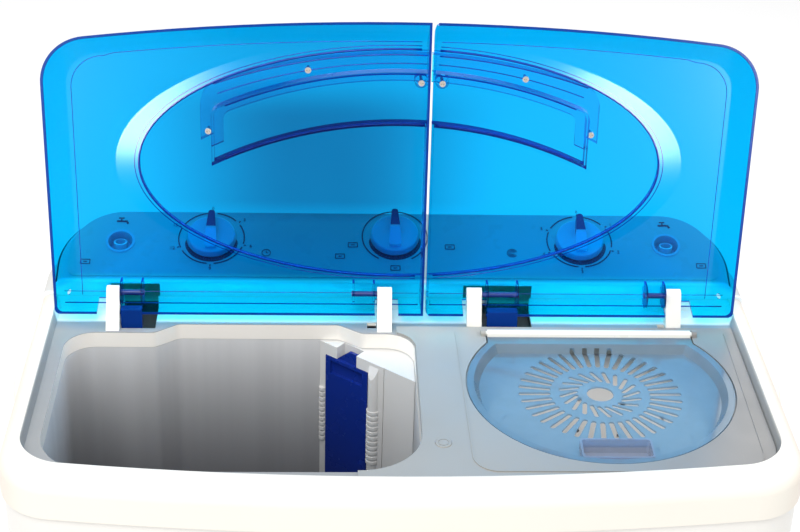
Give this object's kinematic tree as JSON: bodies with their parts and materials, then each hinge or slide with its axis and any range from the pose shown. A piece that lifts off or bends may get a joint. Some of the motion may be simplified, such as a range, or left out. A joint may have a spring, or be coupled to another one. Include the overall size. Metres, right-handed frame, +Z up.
{
  "type": "twin tub washer",
  "caption": "Washing machine with a wash tub beside a spinner, hinged see-through blue lids standing open over a sunk deck, a slotted spinner cover and a sloping control panel at the back.",
  "frame": {"origin": "on the floor, under the middle of the body's outline", "axes": "+X to the spinner side, +Y to the back, +Z up; lids open at rest"},
  "size_m": [0.772, 0.47, 1.1527],
  "materials": {
    "rubber": "moulded black rubber",
    "base_grey": "fine textured grey plastic",
    "body_cream": "smooth cream white plastic",
    "deck_cream": "satin cream plastic",
    "dark_plastic": "dark moulded plastic",
    "plate_blue_grey": "satin pale blue grey plastic",
    "cover_pale_blue": "translucent pale blue plastic",
    "fascia_blue": "printed film",
    "knob_grey": "smooth grey plastic",
    "lid_blue": "clear cyan blue plastic",
    "steel": "bright zinc plate",
    "tub_grey": "satin grey plastic",
    "pulsator_blue": "satin blue plastic",
    "filter_navy": "navy blue plastic",
    "basket_white": "smooth white plastic",
    "motor_metal": "cast and painted metal",
    "zinc_steel": "zinc plated pressed steel"
  },
  "bodies": {
    "washer_body": {"feet": "rubber", "base_frame": "base_grey", "cabinet": "body_cream", "rear_cover": "base_grey", "rear_cover_screws": "steel", "top_frame": "deck_cream", "hinge_pocket_liners": "dark_plastic", "side_grips": "body_cream", "spin_deck_plate": "plate_blue_grey", "deck_screw_cap": "plate_blue_grey", "control_panel": "deck_cream", "fascia": "fascia_blue", "wash_timer": "dark_plastic", "drain_selector": "dark_plastic", "spin_timer": "dark_plastic", "wash_water_inlet": "knob_grey", "spin_water_inlet": "knob_grey", "hinge_posts": "deck_cream", "hinge_pins": "steel", "wash_tub": "tub_grey", "filter_housing": "tub_grey", "spin_outer_tub": "tub_grey", "spin_seal": "rubber", "spin_motor": "motor_metal", "spin_motor_mounts": "rubber", "brake_bracket": "zinc_steel", "drive_chassis": "zinc_steel", "chassis_bolts": "steel", "gearbox": "motor_metal", "wash_motor": "motor_metal", "drive_belt": "rubber", "drain_valve_body": "base_grey", "drain_pipes": "rubber", "drain_outlet": "base_grey", "capacitor": "motor_metal", "lid_switch": "dark_plastic"},
    "wash_lid_body": {"wash_lid": "lid_blue", "wash_lid_handle": "lid_blue", "wash_lid_screws": "steel"},
    "spin_lid_body": {"spin_lid": "lid_blue", "spin_lid_handle": "lid_blue", "spin_lid_screws": "steel"},
    "spin_cover_body": {"spin_cover": "cover_pale_blue", "spin_cover_cup": "cover_pale_blue", "spin_cover_hinge_bar": "deck_cream"},
    "wash_timer_dial": {"wash_timer_knob": "knob_grey"},
    "drain_selector_dial": {"drain_selector_knob": "knob_grey"},
    "spin_timer_dial": {"spin_timer_knob": "knob_grey"},
    "wash_drive": {"pulsator": "pulsator_blue", "pulsator_screw": "steel", "wash_shaft": "steel", "large_pulley": "dark_plastic"},
    "wash_motor_rotor": {"wash_motor_shaft": "steel", "wash_motor_pulley": "dark_plastic"},
    "spin_rotor": {"spin_basket": "basket_white", "spin_shaft": "steel", "brake_drum": "motor_metal"},
    "lint_filter_body": {"lint_filter": "filter_navy"},
    "brake_lever_body": {"brake_lever": "zinc_steel"},
    "drain_plunger_body": {"drain_valve_plunger": "base_grey"}
  },
  "joints": [
    {"name": "wash_lid_hinge", "type": "hinge", "parent": "washer_body", "child": "wash_lid_body", "pos_m": [-0.15, 0.1116, 0.8476], "axis": [-1, 0, 0], "range_deg": [-94, 0]},
    {"name": "spin_lid_hinge", "type": "hinge", "parent": "washer_body", "child": "spin_lid_body", "pos_m": [0.2, 0.1116, 0.8476], "axis": [-1, 0, 0], "range_deg": [-94, 0]},
    {"name": "spin_cover_hinge", "type": "hinge", "parent": "washer_body", "child": "spin_cover_body", "pos_m": [0.203, 0.074, 0.822], "axis": [-1, 0, 0], "range_deg": [0, 88]},
    {"name": "wash_timer_turn", "type": "hinge", "parent": "washer_body", "child": "wash_timer_dial", "pos_m": [-0.2, 0.18863, 0.87098], "axis": [0, -0.3746, 0.9272], "range_deg": [0, 330]},
    {"name": "drain_selector_turn", "type": "hinge", "parent": "washer_body", "child": "drain_selector_dial", "pos_m": [0, 0.19234, 0.87248], "axis": [0, -0.3746, 0.9272], "range_deg": [-90, 0]},
    {"name": "spin_timer_turn", "type": "hinge", "parent": "washer_body", "child": "spin_timer_dial", "pos_m": [0.203, 0.1877, 0.8706], "axis": [0, -0.3746, 0.9272], "range_deg": [0, 300]},
    {"name": "drain_valve_slide", "type": "slide", "parent": "washer_body", "child": "drain_plunger_body", "axis": [0, 0, 1], "range_m": [0, 0.0125]},
    {"name": "pulsator_spin", "type": "hinge", "parent": "washer_body", "child": "wash_drive", "pos_m": [-0.164, -0.046, 0.3], "axis": [0, 0, 1], "continuous": true},
    {"name": "wash_motor_spin", "type": "hinge", "parent": "washer_body", "child": "wash_motor_rotor", "pos_m": [-0.289, 0.034, 0.22], "axis": [0, 0, 1], "continuous": true},
    {"name": "basket_spin", "type": "hinge", "parent": "washer_body", "child": "spin_rotor", "pos_m": [0.203, -0.026, 0.4], "axis": [0, 0, 1], "continuous": true},
    {"name": "lint_filter_slide", "type": "slide", "parent": "washer_body", "child": "lint_filter_body", "axis": [-0.6347, -0.7727, 0], "range_m": [0, 0.12]},
    {"name": "brake_lever_pivot", "type": "hinge", "parent": "washer_body", "child": "brake_lever_body", "pos_m": [0.29, 0.04, 0.23], "axis": [0, 0, 1], "range_deg": [0, 9.5]}
  ],
  "couplings": [
    {"joint": "wash_motor_spin", "follows": "pulsator_spin", "ratio": 3.3333},
    {"joint": "drain_valve_slide", "follows": "drain_selector_turn", "m_per_rad": -0.0076},
    {"joint": "brake_lever_pivot", "follows": "spin_lid_hinge", "ratio": -0.1}
  ]
}
